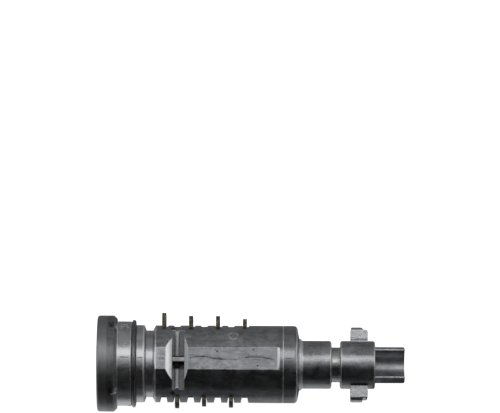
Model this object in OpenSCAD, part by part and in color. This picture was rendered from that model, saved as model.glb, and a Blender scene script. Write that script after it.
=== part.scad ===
// Car door lock cylinder, taken out of its housing.
// A die-cast plug carries seven spring-loaded wafers, a crimped head cap with a key slot,
// the shutter that closes the slot from inside, and a rubber seal ring.
// +X runs along the axis from the front face of the head (X = 0) to the tail.
// +Z is the side with the moulded flat and the cross cut. The wafers slide along Y:
// odd ones stand out on the +Y side, even ones on the -Y side.

/* [Head cap] */
// How far the head stands over the collar
head_rise = 1.21; // [1.1:0.05:2.5]
// Length of the head along the axis
head_l = 4.1; // [3.8:0.1:6]
// Thickness of the cap's sheet
cap_wall = 0.5; // [0.4:0.05:0.55]
// Rounding of the front edge
head_edge_r = 0.55; // [0.2:0.05:0.9]
// Slope turned in round the rear edge by the crimping
crimp_slope = 0.64; // [0.5:0.02:0.8]
// Width of each crimp mark round the rim
crimp_w = 1.3; // [0.8:0.1:2.5]
// Reach of each crimp mark forward from the rear edge
crimp_l = 1.25; // [1:0.05:1.6]
// Depth of each crimp mark at the rear edge
crimp_depth = 0.3; // [0.15:0.05:0.35]
// Angle of the first crimp mark from the flat's side
crimp_first = 45; // [30:5:60]
// Number of crimp marks
crimp_count = 4; // [3:1:8]

/* [Key slot and shutter] */
// Width of the key slot
slot_w = 10.2; // [9.6:0.1:10.8]
// Height of the key slot
slot_h = 3.2; // [2.8:0.1:3.6]
// Rounding of the slot's corners
slot_corner_r = 0.45; // [0.2:0.05:1]
// Wall of the shutter frame outside its chamber's corners
frame_rim = 1.25; // [1.1:0.05:2]
// Length of the shutter frame
frame_l = 2.9; // [2.8:0.1:3.2]
// Thickness of the frame's front wall
frame_wall = 0.4; // [0.3:0.05:0.5]
// Thickness of the shutter flap
flap_t = 0.6; // [0.4:0.05:0.7]
// Overlap of the flap below the slot
flap_lap = 0.5; // [0.3:0.05:0.6]
// Side gap between the flap and the chamber
flap_side = 0.3; // [0.2:0.05:0.5]
// Radius of the shutter's hinge pin
hinge_r = 0.5; // [0.4:0.02:0.52]
// Height of the hinge pin above the axis
hinge_z = 2.6; // [2.5:0.05:2.8]
// Outer radius of the flap's knuckles
knuckle_r = 0.85; // [0.75:0.05:0.88]
// Length of each knuckle
knuckle_l = 1.7; // [1.2:0.1:2]
// Length of the hinge pin's seat in each side of the frame
pin_seat = 1.1; // [0.8:0.1:1.3]
// Wire radius of the shutter spring
shutter_wire_r = 0.13; // [0.1:0.01:0.14]
// Turns of the shutter spring
shutter_turns = 6; // [4:1:8]

/* [Keyway] */
// Height of the key's blade opening, across the wafers
keyway_h = 6.6; // [6:0.1:7]
// Width of the key's blade opening
keyway_w = 2.7; // [2.2:0.1:3]
// Reach of the keyway behind the last wafer
keyway_past = 3.5; // [1.5:0.5:6]

/* [Collar and seal] */
// Wall of the collar round the shutter frame
collar_wall = 1.14; // [1:0.05:2]
// Length of the collar
collar_l = 3.1; // [2.9:0.1:6]
// Rounding of the collar's edges
collar_edge_r = 0.3; // [0.1:0.05:0.5]
// Depth of the seal groove below the collar
seal_depth = 1.34; // [1.1:0.05:1.6]
// Width of the seal ring
seal_w = 0.8; // [0.6:0.05:1.5]
// How far the seal ring stands over the collar
seal_rise = 0.31; // [0.1:0.05:0.6]
// Rounding of the seal ring's outer edges, as a share of its width
seal_round = 0.45; // [0.3:0.05:0.5]
// Length of the land behind the seal
land_l = 1.85; // [1.5:0.05:4]
// Radius of the dimple in the collar
dimple_r = 1.05; // [0.6:0.05:1.2]
// Depth of the dimple
dimple_depth = 0.45; // [0.2:0.05:0.8]
// Angle of the dimple from the flat's side
dimple_angle = 51; // [40:1:60]
// Width of the drain notch at the collar's rear edge
drain_w = 0.85; // [0.5:0.05:1.2]
// Depth of the drain notch
drain_depth = 0.5; // [0.3:0.05:0.8]

/* [Clip groove] */
// Depth of the clip groove below the barrel
clip_depth = 1.1; // [0.7:0.1:1.3]
// Width of the groove's mouth
clip_l = 2.15; // [2:0.05:3]
// Slope of the groove's front wall
clip_front = 0.3; // [0.1:0.05:0.4]
// Slope of the groove's rear wall
clip_rear = 0.5; // [0.2:0.05:0.6]

/* [Barrel] */
// Radius of the barrel
barrel_r = 8; // [7.8:0.05:8.3]
// Length of the barrel
barrel_l = 29.4; // [28:0.2:40]
// Rounding of the barrel's rear edge
barrel_edge_r = 0.8; // [0.4:0.1:1]
// Draft of the moulded section: how much smaller its front is than the journal behind it
draft = 0.04; // [0.02:0.01:0.08]
// Depth of the moulded flats below the barrel
flat_depth = 0.37; // [0.2:0.05:0.55]
// Length of the flats behind the clip groove
flat_l = 25.2; // [22:0.2:26]
// Length of the ramp at the end of each flat
flat_ramp = 0.4; // [0.3:0.1:1.2]
// Distance of the fine turned line from the barrel's rear edge
line_back = 3; // [2:0.2:4]
// Width of the fine turned line
line_w = 0.16; // [0.1:0.02:0.3]
// Depth of the fine turned line
line_depth = 0.1; // [0.05:0.01:0.2]

/* [Cross cut] */
// Height of the cross cut's floor over the spring pocket's top
cut_over = 0.04; // [0:0.02:0.3]
// Start of the cut's floor behind the clip groove
cut_start = 3.55; // [3.3:0.05:3.7]
// Length of the cut's floor
cut_l = 2.5; // [2.4:0.05:2.8]
// Depth of the sloped lips of the cut below the flat
cut_lip = 1; // [0.6:0.1:1.5]
// Width of the front lip, along the axis
cut_front = 1.4; // [0.8:0.02:1.5]
// Width of the rear lip, along the axis
cut_rear = 0.7; // [0.4:0.05:0.9]
// Width of the roof of the spring pocket, a ridge on the cut's floor
ridge_w = 1; // [0.8:0.05:1.2]
// Height of the ridge
ridge_h = 0.35; // [0.3:0.05:0.5]
// Width of the window in the cut's floor, across the part
window_l = 2.25; // [1.6:0.05:2.8]
// Width of the rib that bridges the window
rib_w = 0.9; // [0.4:0.05:1.2]
// Distance of the rib's far side from the window's far edge
rib_gap = 0.25; // [0.1:0.05:0.5]

/* [Wafers] */
// Distance of the first wafer behind the clip groove
wafer_first = 1.75; // [1.7:0.05:2]
// Spacing of the wafers
wafer_pitch = 2.785; // [2.7:0.005:2.85]
// Thickness of a wafer
wafer_t = 0.85; // [0.7:0.05:0.9]
// Half width of a wafer
wafer_half = 3.2; // [3:0.02:3.22]
// How far each wafer stands out of the barrel
wafer_out = [2.6, 1.2, 2.0, 0.8, 2.0, 1.0, 1.4]; // [0.6:0.1:2.8]
// Steps of the key's code, one for each wafer
wafer_code = [3, 1, 2, 1, 3, 2, 2]; // [1:1:3]
// Height of one step of the code
code_step = 0.35; // [0.2:0.05:0.4]
// Width of a wafer's window, for the key's thickness
window_w = 2.9; // [2.75:0.05:3.3]
// Travel of a wafer past flush with the barrel
over_travel = 0.3; // [0.2:0.05:0.4]
// Gap between a wafer and each wall of its slot
wafer_gap = 0.06; // [0.04:0.01:0.08]
// Size of the nick in the tip of one wafer
nick = 0.42; // [0.2:0.02:0.5]
// Which wafer has the nick
nicked_wafer = 3; // [1:1:7]
// Bevel of a wafer's ends
wafer_bevel = 0.12; // [0.05:0.01:0.2]
// Distance of the tab's stop from the middle of the plug
tab_stop = 1.4; // [1.2:0.05:1.6]
// Height of the tab that the spring pushes on
tab_h = 1.1; // [0.8:0.1:1.3]
// Reach of the tab past the wafer's side
tab_w = 1.45; // [1.3:0.05:1.5]

/* [Wafer springs] */
// Outer radius of a wafer spring
spring_r = 0.8; // [0.7:0.02:0.82]
// Wire radius of a wafer spring
spring_wire_r = 0.11; // [0.08:0.01:0.13]
// Length of a wafer spring at rest
spring_l = 4.6; // [4.4:0.1:5]
// Turns of a wafer spring
spring_turns = 6; // [5:1:7]
// Gap between a spring and its pocket
pocket_gap = 0.08; // [0.05:0.01:0.1]

/* [Barrel sides] */
// Depth of the side gaps below the barrel
gap_depth = 1.15; // [0.9:0.05:1.25]
// Tilt of the floors of the side gaps, which get deeper away from the cross cut's side
gap_tilt = 7; // [3:0.5:8]
// Width of the gap opposite each wafer, at the barrel's surface
gap_w = 1.6; // [1.4:0.05:1.75]
// Slope of the walls of the gaps
gap_slope = 0.22; // [0.1:0.02:0.35]
// Relief in front of a wafer on the +Y side
odd_front = 0.1; // [0.05:0.05:0.2]
// Relief behind a wafer on the +Y side
odd_rear = 0.6; // [0.3:0.05:0.65]
// Relief in front of a wafer on the -Y side
even_front = 0.4; // [0.1:0.05:0.45]
// Relief behind a wafer on the -Y side
even_rear = 0.25; // [0.1:0.05:0.45]
// Outer radius of the moulding pin's ring mark on the barrel
mark_r = 1.1; // [0.8:0.1:1.4]
// Width of the ring mark
mark_w = 0.3; // [0.15:0.05:0.5]
// Distance of the mark behind the clip groove
mark_back = 16.05; // [15:0.05:17]
// Angle of the mark from the flat's side
mark_angle = 37; // [35:1:45]
// Depth of the mark
mark_depth = 0.11; // [0.09:0.01:0.15]
// Bevel of the small inner corners of the casting
small_bevel = 0.15; // [0.05:0.05:0.2]

/* [Tail] */
// Length of the stepped end of the barrel
step_l = 0.9; // [0.8:0.1:1.5]
// Slope of the barrel's rear face
step_slope = 0.35; // [0.1:0.05:0.6]
// Radius of the step between the barrel and the shaft
step_r = 5.25; // [5.1:0.05:6]
// Radius of the shaft behind the barrel
shaft_r = 4.95; // [4.6:0.05:5.05]
// Length of the shaft
shaft_l = 6.1; // [4:0.1:12]
// Rounding of the shaft's rear edge
shaft_edge_r = 0.5; // [0.2:0.05:0.8]
// Radius of the neck
neck_r = 3.6; // [3:0.05:4]
// Length of the neck
neck_l = 1.8; // [1.2:0.1:4]
// Radius of the block that carries the lugs
block_r = 4.95; // [4.6:0.05:5.3]
// Length of the block
block_l = 7.2; // [6.6:0.1:12]
// Rounding of the block's edges
block_edge_r = 0.4; // [0.2:0.05:0.6]
// Radius of the stub at the end
stub_r = 3.74; // [3:0.02:4.2]
// Length of the stub
stub_l = 6.15; // [4:0.05:12]
// Rounding of the stub's end
stub_edge_r = 0.3; // [0.1:0.05:0.6]
// Height of the flat top of the stub over the axis
stub_top = 2.2; // [1.8:0.1:2.6]
// Radius of the trough along the stub
trough_r = 2.75; // [2:0.05:2.8]
// Height of the trough's middle over the axis
trough_z = 1.6; // [1.4:0.1:2]

/* [Drive lugs] */
// Reach of a lug from the axis
lug_reach = 7.68; // [7:0.02:7.8]
// Reach of the lower step behind a lug
lug_step_reach = 7.14; // [6:0.02:7.4]
// Distance of the lugs behind the block's front
lug_back = 2.15; // [1:0.05:2.8]
// Length of a lug
lug_l = 2.5; // [1.5:0.05:2.6]
// Length of the lower step
lug_step_l = 1.05; // [0.6:0.05:1.2]
// Half width of a lug
lug_half = 1.9; // [1:0.05:2.4]
// Rounding of a lug's corners, seen from the flat's side
lug_r = 0.45; // [0.1:0.05:0.5]
// Rounding of a lug's end, seen along the axis
lug_end_r = 0.8; // [0.3:0.1:1.2]

/* [Fits] */
// Gap between the cap and the flange it is pressed over
cap_gap = 0.05; // [0.03:0.01:0.1]
// Gap between the crimped lip and the collar
lip_gap = 0.06; // [0.04:0.01:0.1]
// Gap round the shutter frame, the hinge pin and the seal ring's bore
fit_gap = 0.03; // [0.02:0.01:0.05]
// Gap that a moving piece keeps from its stop
stop_gap = 0.03; // [0.02:0.01:0.05]
// Gap that the shutter keeps from the walls as it swings
swing_gap = 0.2; // [0.1:0.05:0.25]
// Gap between each end of the key slot and the side of the shutter's chamber
side_room = 0.1; // [0.05:0.05:0.2]
// Gap between the hinge pin and the shutter spring round it
coil_gap = 0.08; // [0.05:0.01:0.1]

/* [Hidden] */
$fn = 72;
arc_steps = 5;
coil_steps = 12;
wire_sides = 6;
past = 1;
// Pitch of the closed turns of the shutter spring, in wire diameters
turn_pitch = 1.25;
// Bevel of the flange's rear edge, as a share of the cap's wall
bevel_share = 0.8;

// Places along the axis, each worked out from the one before it
flange_front = cap_wall;
flange_rear = head_l - cap_wall;
flange_bevel = cap_wall * bevel_share;
collar_rear = head_l + collar_l;
seal_rear = collar_rear + seal_w;
land_rear = seal_rear + land_l;
barrel_front = land_rear + clip_l;
barrel_rear = barrel_front + barrel_l;
shaft_front = barrel_rear + step_l;
shaft_rear = shaft_front + shaft_l;
block_front = shaft_rear + neck_l;
block_rear = block_front + block_l;
tail_end = block_rear + stub_l;

// Shutter: the hinge pin lies above the slot, and the flap hangs from it behind the front wall
frame_front = cap_wall;
frame_rear = frame_front + frame_l;
chamber_front = frame_front + frame_wall;
hinge_x = chamber_front + knuckle_r + swing_gap / 2;
flap_front = chamber_front + stop_gap;
flap_low = slot_h / 2 + flap_lap;
flap_half = slot_w / 2 - flap_side;
flap_sweep = norm([hinge_x - flap_front, hinge_z + flap_low]);
chamber_half = slot_w / 2 + side_room;
chamber_low = flap_sweep + swing_gap - hinge_z;
chamber_high = hinge_z + knuckle_r + swing_gap;
chamber_end = hinge_x + flap_sweep + swing_gap;
coil_room = knuckle_r + swing_gap;

// Radii: the shutter's chamber sets the head's end of the plug, and the journal the rest
recess_r = norm([chamber_half, chamber_high]) + frame_rim;
collar_r = recess_r + collar_wall;
head_r = collar_r + head_rise;
flange_r = head_r - cap_wall - cap_gap;
seal_floor_r = collar_r - seal_depth;
seal_r = collar_r + seal_rise;
clip_floor_r = barrel_r - clip_depth;
flat_z = barrel_r - flat_depth;
journal_front = barrel_front + flat_l + flat_ramp;

// Wafers and the pockets of their springs, which lie to one side of them
slot_half_t = wafer_t / 2 + wafer_gap;
slot_half_w = wafer_half + wafer_gap;
pocket_r = spring_r + pocket_gap;
pocket_z = wafer_half + pocket_r;
tab_top = tab_stop - stop_gap;
pocket_end = tab_top - tab_h - spring_l - 2 * stop_gap;
key_clear = keyway_h / 2 + 2 * over_travel;
wafers = len(wafer_out);
cut_z = pocket_z + pocket_r + cut_over;
cut_front_x = barrel_front + cut_start;
cut_rear_x = cut_front_x + cut_l;
gap_floor = barrel_r - gap_depth;

// Points of a round edge in a turned outline, as distance along the axis and radius
function arc(x, r, edge, from, to) =
    [for (i = [0:arc_steps]) let (a = from + (to - from) * i / arc_steps) [x + edge * cos(a), r + edge * sin(a)]];
function unit(v) = v / norm(v);
function odd(n) = n % 2 == 1;
function side(n) = odd(n) ? 1 : -1;
function wafer_x(n) = barrel_front + wafer_first + (n - 1) * wafer_pitch;
keyway_end = wafer_x(wafers) + keyway_past;

// A wafer and its spring are drawn as standing out on the +Y side with the spring on the +Z side:
// an odd one is turned over to -Z, an even one to -Y
module to_side(n) {
    mirror(odd(n) ? [0, 0, 1] : [0, 1, 0])
        children();
}

// A solid turned round the axis from an outline of [distance along the axis, radius]
module turned(outline) {
    rotate([0, 90, 0])
        rotate_extrude()
            polygon([for (p = outline) [p[1], p[0]]]);
}

// An outline in the XZ plane, drawn out to both sides along Y
module across(outline, half) {
    translate([0, half, 0])
        rotate([90, 0, 0])
            linear_extrude(2 * half)
                polygon(outline);
}

// A profile in the YZ plane, drawn out along X from a start
module along(start, length) {
    translate([start, 0, 0])
        rotate([90, 0, 90])
            linear_extrude(length)
                children();
}

// A block between two corners
module block(low, high) {
    translate(low)
        cube(high - low);
}

// A round rod along Y
module cross_rod(x, z, r, from, to) {
    translate([x, to, z])
        rotate([90, 0, 0])
            cylinder(r = r, h = to - from);
}

// A round cut into the side of the part, as deep as a given distance from the axis
module side_drill(x, angle, r, floor) {
    translate([x, 0, 0])
        rotate([-angle, 0, 0])
            translate([0, 0, floor])
                cylinder(r = r, h = head_r);
}

module rounded_slot(w, h, r) {
    square([w - 2 * r, h], center = true);
    square([w, h - 2 * r], center = true);
    for (y = [-1, 1], z = [-1, 1])
        translate([y * (w / 2 - r), z * (h / 2 - r)])
            circle(r);
}

// Wire drawn along a path whose steps never run straight along Y
function wire_ring(path, i, r) =
    let (t = unit(path[min(i + 1, len(path) - 1)] - path[max(i - 1, 0)]),
        u = unit(cross(t, [0, 1, 0])),
        v = cross(u, t))
    [for (k = [0:wire_sides - 1]) path[i] + r * (cos(360 * k / wire_sides) * u + sin(360 * k / wire_sides) * v)];

module wire(path, r) {
    last = len(path) - 1;
    points = [for (i = [0:last]) each wire_ring(path, i, r)];
    skin = [for (i = [0:last - 1], k = [0:wire_sides - 1])
        let (a = i * wire_sides + k, b = i * wire_sides + (k + 1) % wire_sides)
        each [[a, b, a + wire_sides], [b, b + wire_sides, a + wire_sides]]];
    front_cap = [for (k = [wire_sides - 1:-1:0]) k];
    rear_cap = [for (k = [0:wire_sides - 1]) last * wire_sides + k];
    polyhedron(points, concat(skin, [front_cap, rear_cap]));
}

// Height of a coil after a number of turns, with one closed turn at each end
function coil_height(turn, turns, length, wire_r) =
    turn < 1 ? wire_r * (1 + 2 * turn)
    : turn > turns - 1 ? length - wire_r * (1 + 2 * (turns - turn))
    : 3 * wire_r + (turn - 1) * (length - 6 * wire_r) / (turns - 2);

// The plug: one casting from the flange under the cap to the stub
plug_outline = concat(
    [[flange_front, 0], [flange_front, flange_r - cap_wall], [flange_front + cap_wall, flange_r]],
    [[flange_rear - flange_bevel, flange_r], [flange_rear, flange_r - flange_bevel]],
    [[flange_rear, collar_r]],
    arc(collar_rear - collar_edge_r, collar_r - collar_edge_r, collar_edge_r, 90, 0),
    [[collar_rear, seal_floor_r], [seal_rear, seal_floor_r]],
    [[seal_rear, barrel_r - small_bevel], [seal_rear + small_bevel, barrel_r]],
    arc(land_rear - collar_edge_r, barrel_r - collar_edge_r, collar_edge_r, 90, 20),
    [[land_rear + clip_front, clip_floor_r], [barrel_front - clip_rear, clip_floor_r]],
    [[barrel_front, barrel_r - draft], [journal_front, barrel_r]],
    [[barrel_rear - line_back - line_w / 2, barrel_r], [barrel_rear - line_back, barrel_r - line_depth]],
    [[barrel_rear - line_back + line_w / 2, barrel_r]],
    arc(barrel_rear - barrel_edge_r, barrel_r - barrel_edge_r, barrel_edge_r, 90, 10),
    [[barrel_rear + step_slope, step_r + small_bevel], [shaft_front - small_bevel, step_r], [shaft_front, shaft_r]],
    arc(shaft_rear - shaft_edge_r, shaft_r - shaft_edge_r, shaft_edge_r, 90, 0),
    [[shaft_rear, neck_r + small_bevel], [shaft_rear + small_bevel, neck_r]],
    [[block_front - small_bevel, neck_r], [block_front, neck_r + small_bevel]],
    arc(block_front + block_edge_r, block_r - block_edge_r, block_edge_r, 180, 90),
    arc(block_rear - block_edge_r, block_r - block_edge_r, block_edge_r, 90, 0),
    [[block_rear, stub_r + small_bevel], [block_rear + small_bevel, stub_r]],
    arc(tail_end - stub_edge_r, stub_r - stub_edge_r, stub_edge_r, 90, 0),
    [[tail_end, 0]]);

// Drive lug on one side, drawn in the XY plane
module lug(s) {
    front = block_front + lug_back;
    step = front + lug_l;
    rear = step + lug_step_l;
    outline = concat(
        [[front, 0]],
        arc(front + lug_r, lug_reach - lug_r, lug_r, 180, 90),
        arc(step - lug_r, lug_reach - lug_r, lug_r, 90, 0),
        [[step, lug_step_reach]],
        arc(rear - lug_r, lug_step_reach - lug_r, lug_r, 90, 0),
        [[rear, 0]]);
    intersection() {
        translate([0, 0, -lug_half])
            linear_extrude(2 * lug_half)
                polygon([for (p = outline) [p[0], s * p[1]]]);
        along(front - past, rear - front + 2 * past)
            rounded_slot(2 * lug_reach, 2 * lug_half, lug_end_r);
    }
}

module flat_cut(s) {
    top = barrel_r + past;
    ramp_end = barrel_front + flat_l + flat_ramp * (top - flat_z) / (barrel_r - flat_z);
    across([[barrel_front - clip_rear, s * flat_z], [barrel_front + flat_l, s * flat_z],
        [ramp_end, s * top], [barrel_front - clip_rear, s * top]], barrel_r);
}

// Cross cut in the flat: sloped lips, straight walls, and the spring pocket's round roof left on its floor
module cut_channel() {
    lip = flat_z - cut_lip;
    rise = (barrel_r + past - lip) / cut_lip;
    across(concat(
        [[cut_front_x, lip], [cut_front_x, cut_z], [wafer_x(2) - ridge_w / 2, cut_z]],
        arc(wafer_x(2), cut_z + ridge_h - ridge_w / 2, ridge_w / 2, 160, 20),
        [[wafer_x(2) + ridge_w / 2, cut_z], [cut_rear_x, cut_z], [cut_rear_x, lip]],
        [[cut_rear_x + cut_rear * rise, barrel_r + past], [cut_front_x - cut_front * rise, barrel_r + past]]), barrel_r);
}

// The channel with the window in its floor, and the rib left across the window
module cross_cut() {
    rib_end = window_l - tab_stop - rib_gap;
    difference() {
        union() {
            cut_channel();
            block([cut_front_x, -tab_stop, wafer_half - wafer_gap], [cut_rear_x, window_l - tab_stop, cut_z + past / 2]);
        }
        block([cut_front_x - past, rib_end - rib_w, cut_z], [cut_rear_x + past, rib_end, cut_z + ridge_h]);
    }
}

// Gap cut in one side of the barrel between two places along the axis, measured at the surface
module side_gap(s, from, to, floor) {
    slope = gap_slope * past / (barrel_r - floor);
    rotate([-s * gap_tilt, 0, 0])
        translate([0, 0, -barrel_r])
            linear_extrude(2 * barrel_r)
                polygon([[from - slope, s * (barrel_r + past)], [from + gap_slope, s * floor],
                    [to - gap_slope, s * floor], [to + slope, s * (barrel_r + past)]]);
}

// Ring cut lightly into the side of the part
module ring_mark(x, angle, r, w, depth) {
    difference() {
        side_drill(x, angle, r, barrel_r - depth);
        side_drill(x, angle, r - w, barrel_r - 2 * depth);
    }
}

// Flat top and trough of the stub
module stub_cut() {
    block([block_rear, -block_r, stub_top], [tail_end + past, block_r, block_r + past]);
    along(block_rear, stub_l + past)
        translate([0, trough_z])
            circle(trough_r);
}

// Slot, mouth and spring pocket of one wafer, and the gap on the other side of the barrel
module wafer_room(n) {
    x = wafer_x(n);
    s = side(n);
    front = odd(n) ? odd_front : even_front;
    rear = odd(n) ? odd_rear : even_rear;
    block([x - slot_half_t, -barrel_r - past, -slot_half_w], [x + slot_half_t, barrel_r + past, slot_half_w]);
    side_gap(s, x - wafer_t / 2 - front, x + wafer_t / 2 + rear, gap_floor);
    side_gap(-s, x - gap_w / 2, x + gap_w / 2, gap_floor);
    to_side(n) {
        cross_rod(x, pocket_z, pocket_r, pocket_end, tab_stop);
        block([x - slot_half_t, pocket_end, wafer_half - wafer_gap], [x + slot_half_t, tab_stop, pocket_z]);
    }
}

module plug_body() {
    color([0.52, 0.53, 0.55])
    difference() {
        union() {
            turned(plug_outline);
            for (s = [-1, 1])
                lug(s);
        }
        turned([[0, 0], [0, recess_r], [frame_rear, recess_r], [frame_rear, 0]]);
        block([frame_rear - past, -chamber_half, -chamber_low], [chamber_end, chamber_half, chamber_high]);
        block([chamber_end - past, -keyway_h / 2, -keyway_w / 2], [keyway_end, keyway_h / 2, keyway_w / 2]);
        for (n = [1:wafers])
            wafer_room(n);
        for (s = [-1, 1])
            flat_cut(s);
        cross_cut();
        side_drill(head_l + collar_l / 2, dimple_angle, dimple_r, collar_r - dimple_depth);
        ring_mark(barrel_front + mark_back, mark_angle, mark_r, mark_w, mark_depth);
        stub_cut();
        block([collar_rear - drain_w, -collar_r - past, -drain_w / 2],
            [collar_rear, drain_depth - collar_r, drain_w / 2]);
    }
}

// Cap pressed over the flange and crimped round its rear edge
module head_cap() {
    bore = flange_r + cap_gap;
    lip = collar_r + lip_gap;
    color([0.2, 0.2, 0.21])
    difference() {
        turned(concat(
            [[0, 0]],
            arc(head_edge_r, head_r - head_edge_r, head_edge_r, 180, 90),
            [[head_l - crimp_slope, head_r], [head_l, head_r - crimp_slope], [head_l, lip], [flange_rear, lip]],
            [[flange_rear, bore - flange_bevel], [flange_rear - flange_bevel, bore]],
            [[flange_front + cap_wall, bore], [flange_front, bore - cap_wall], [flange_front, 0]]));
        along(-past, cap_wall + 2 * past)
            rounded_slot(slot_w, slot_h, slot_corner_r);
        for (i = [0:crimp_count - 1])
            rotate([crimp_first + 360 * i / crimp_count, 0, 0])
                across([[head_l - crimp_l, head_r], [head_l, head_r - crimp_slope - crimp_depth],
                    [head_l + past, head_r - crimp_slope - crimp_depth], [head_l + past, head_r + past],
                    [head_l - crimp_l, head_r + past]], crimp_w / 2);
    }
}

// Frame behind the cap, with the slot's inner wall and the seats of the hinge pin
module shutter_frame() {
    pin_end = chamber_half + pin_seat;
    color([0.14, 0.14, 0.15])
    difference() {
        turned([[frame_front, 0], [frame_front, recess_r - fit_gap], [frame_rear, recess_r - fit_gap],
            [frame_rear, 0]]);
        along(frame_front - past, frame_wall + 2 * past)
            rounded_slot(slot_w, slot_h, slot_corner_r);
        block([chamber_front, -chamber_half, -chamber_low], [frame_rear + past, chamber_half, chamber_high]);
        cross_rod(hinge_x, hinge_z, hinge_r + fit_gap, -pin_end, pin_end);
    }
}

module shutter_pin() {
    pin_end = chamber_half + pin_seat - stop_gap;
    color([0.7, 0.7, 0.72])
    cross_rod(hinge_x, hinge_z, hinge_r, -pin_end, pin_end);
}

// Flap closed behind the slot, with a knuckle at each end and room for the spring between them
module shutter_flap() {
    inner = flap_half - knuckle_l;
    color([0.45, 0.45, 0.47])
    difference() {
        union() {
            block([flap_front, -flap_half, -flap_low], [flap_front + flap_t, flap_half, hinge_z]);
            for (s = [-1, 1])
                cross_rod(hinge_x, hinge_z, knuckle_r, min(s * inner, s * flap_half), max(s * inner, s * flap_half));
        }
        block([flap_front - past, -inner, hinge_z - coil_room], [flap_front + flap_t + past, inner, hinge_z + past]);
        cross_rod(hinge_x, hinge_z, hinge_r + fit_gap, -flap_half - past, flap_half + past);
    }
}

// Torsion spring round the hinge pin: one leg bears on the flap, the other on the chamber's roof
module shutter_spring() {
    coil_r = hinge_r + coil_gap + shutter_wire_r;
    half = shutter_turns * shutter_wire_r * turn_pitch;
    flap_back = flap_front + flap_t + shutter_wire_r + stop_gap;
    roof = chamber_high - shutter_wire_r - stop_gap;
    steps = shutter_turns * coil_steps;
    coil = [for (i = [0:steps + coil_steps / 4])
        [hinge_x + coil_r * cos(360 * i / coil_steps), -half + 2 * half * i / steps,
            hinge_z + coil_r * sin(360 * i / coil_steps)]];
    color([0.72, 0.72, 0.74])
    wire(concat([[flap_back, -half, 0], [hinge_x + coil_r, -half, hinge_z - coil_r]], coil,
        [[hinge_x - coil_r, coil[len(coil) - 1][1], roof]]), shutter_wire_r);
}

module seal_ring() {
    bore = seal_floor_r + fit_gap;
    edge = seal_w * seal_round;
    color([0.05, 0.05, 0.05])
    turned(concat(
        [[collar_rear, bore]],
        arc(collar_rear + edge, seal_r - edge, edge, 180, 90),
        arc(seal_rear - edge, seal_r - edge, edge, 90, 0),
        [[seal_rear, bore]]));
}

// Outline of a wafer seen along Z, with its ends bevelled
module bevelled_bar(x) {
    half = wafer_t / 2;
    tip = half - wafer_bevel;
    shoulder = barrel_r - 2 * wafer_bevel;
    translate([x, 0, -barrel_r])
        linear_extrude(2 * barrel_r)
            polygon([[half, shoulder], [tip, barrel_r], [-tip, barrel_r], [-half, shoulder],
                [-half, -shoulder], [-tip, -barrel_r], [tip, -barrel_r], [half, -shoulder]]);
}

// Face of a wafer: its ends follow the barrel, and one edge of the window rests on the key
module wafer_face(n) {
    low = keyway_h / 2 - wafer_code[n - 1] * code_step;
    difference() {
        intersection() {
            circle(barrel_r);
            square([3 * barrel_r, 2 * wafer_half], center = true);
        }
        translate([-low, -window_w / 2])
            square([low + key_clear, window_w]);
    }
}

// Wafer plate, drawn as it stands with the key in and then moved out to rest, with its tab
module wafer(n) {
    x = wafer_x(n);
    color([0.40, 0.36, 0.30])
    to_side(n) {
        translate([0, wafer_out[n - 1], 0])
            difference() {
                intersection() {
                    along(x - wafer_t / 2, wafer_t)
                        wafer_face(n);
                    bevelled_bar(x);
                }
                if (n == nicked_wafer)
                    translate([x, barrel_r, 0])
                        rotate([0, 0, 45])
                            cube([nick, nick, 2 * barrel_r], center = true);
            }
        block([x - wafer_t / 2, tab_top - tab_h, window_w], [x + wafer_t / 2, tab_top, wafer_half + tab_w]);
    }
}

// Spring between the tab of a wafer and the end of its pocket
module wafer_spring(n) {
    centre_r = spring_r - spring_wire_r;
    steps = spring_turns * coil_steps;
    start = pocket_end + stop_gap;
    path = [for (i = [0:steps])
        [wafer_x(n) + centre_r * cos(360 * i / coil_steps),
            start + coil_height(i / coil_steps, spring_turns, spring_l, spring_wire_r),
            pocket_z + centre_r * sin(360 * i / coil_steps)]];
    color([0.68, 0.67, 0.64])
    to_side(n)
        wire(path, spring_wire_r);
}

plug_body();
head_cap();
shutter_frame();
shutter_flap();
shutter_pin();
shutter_spring();
seal_ring();
wafer(1);  // wafer_1
wafer(2);  // wafer_2
wafer(3);  // wafer_3
wafer(4);  // wafer_4
wafer(5);  // wafer_5
wafer(6);  // wafer_6
wafer(7);  // wafer_7
wafer_spring(1);  // wafer_spring_1
wafer_spring(2);  // wafer_spring_2
wafer_spring(3);  // wafer_spring_3
wafer_spring(4);  // wafer_spring_4
wafer_spring(5);  // wafer_spring_5
wafer_spring(6);  // wafer_spring_6
wafer_spring(7);  // wafer_spring_7
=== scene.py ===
"""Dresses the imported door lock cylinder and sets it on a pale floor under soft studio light.

The lock lies on its side with its moulded flat towards the camera. +X runs from the head to the tail, +Z
leaves the flat and the wafers slide along Y. A length whose name ends in _mm is in millimetres, and so are
the places in CastPlaces, SatinCap and FloorGlow. The rest of the studio is in metres, as the frame is.
"""
import logging
import math
import random
from collections.abc import Callable
from dataclasses import dataclass, field
from enum import Enum
from typing import Protocol

import bpy
from mathutils import Matrix, Vector


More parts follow.
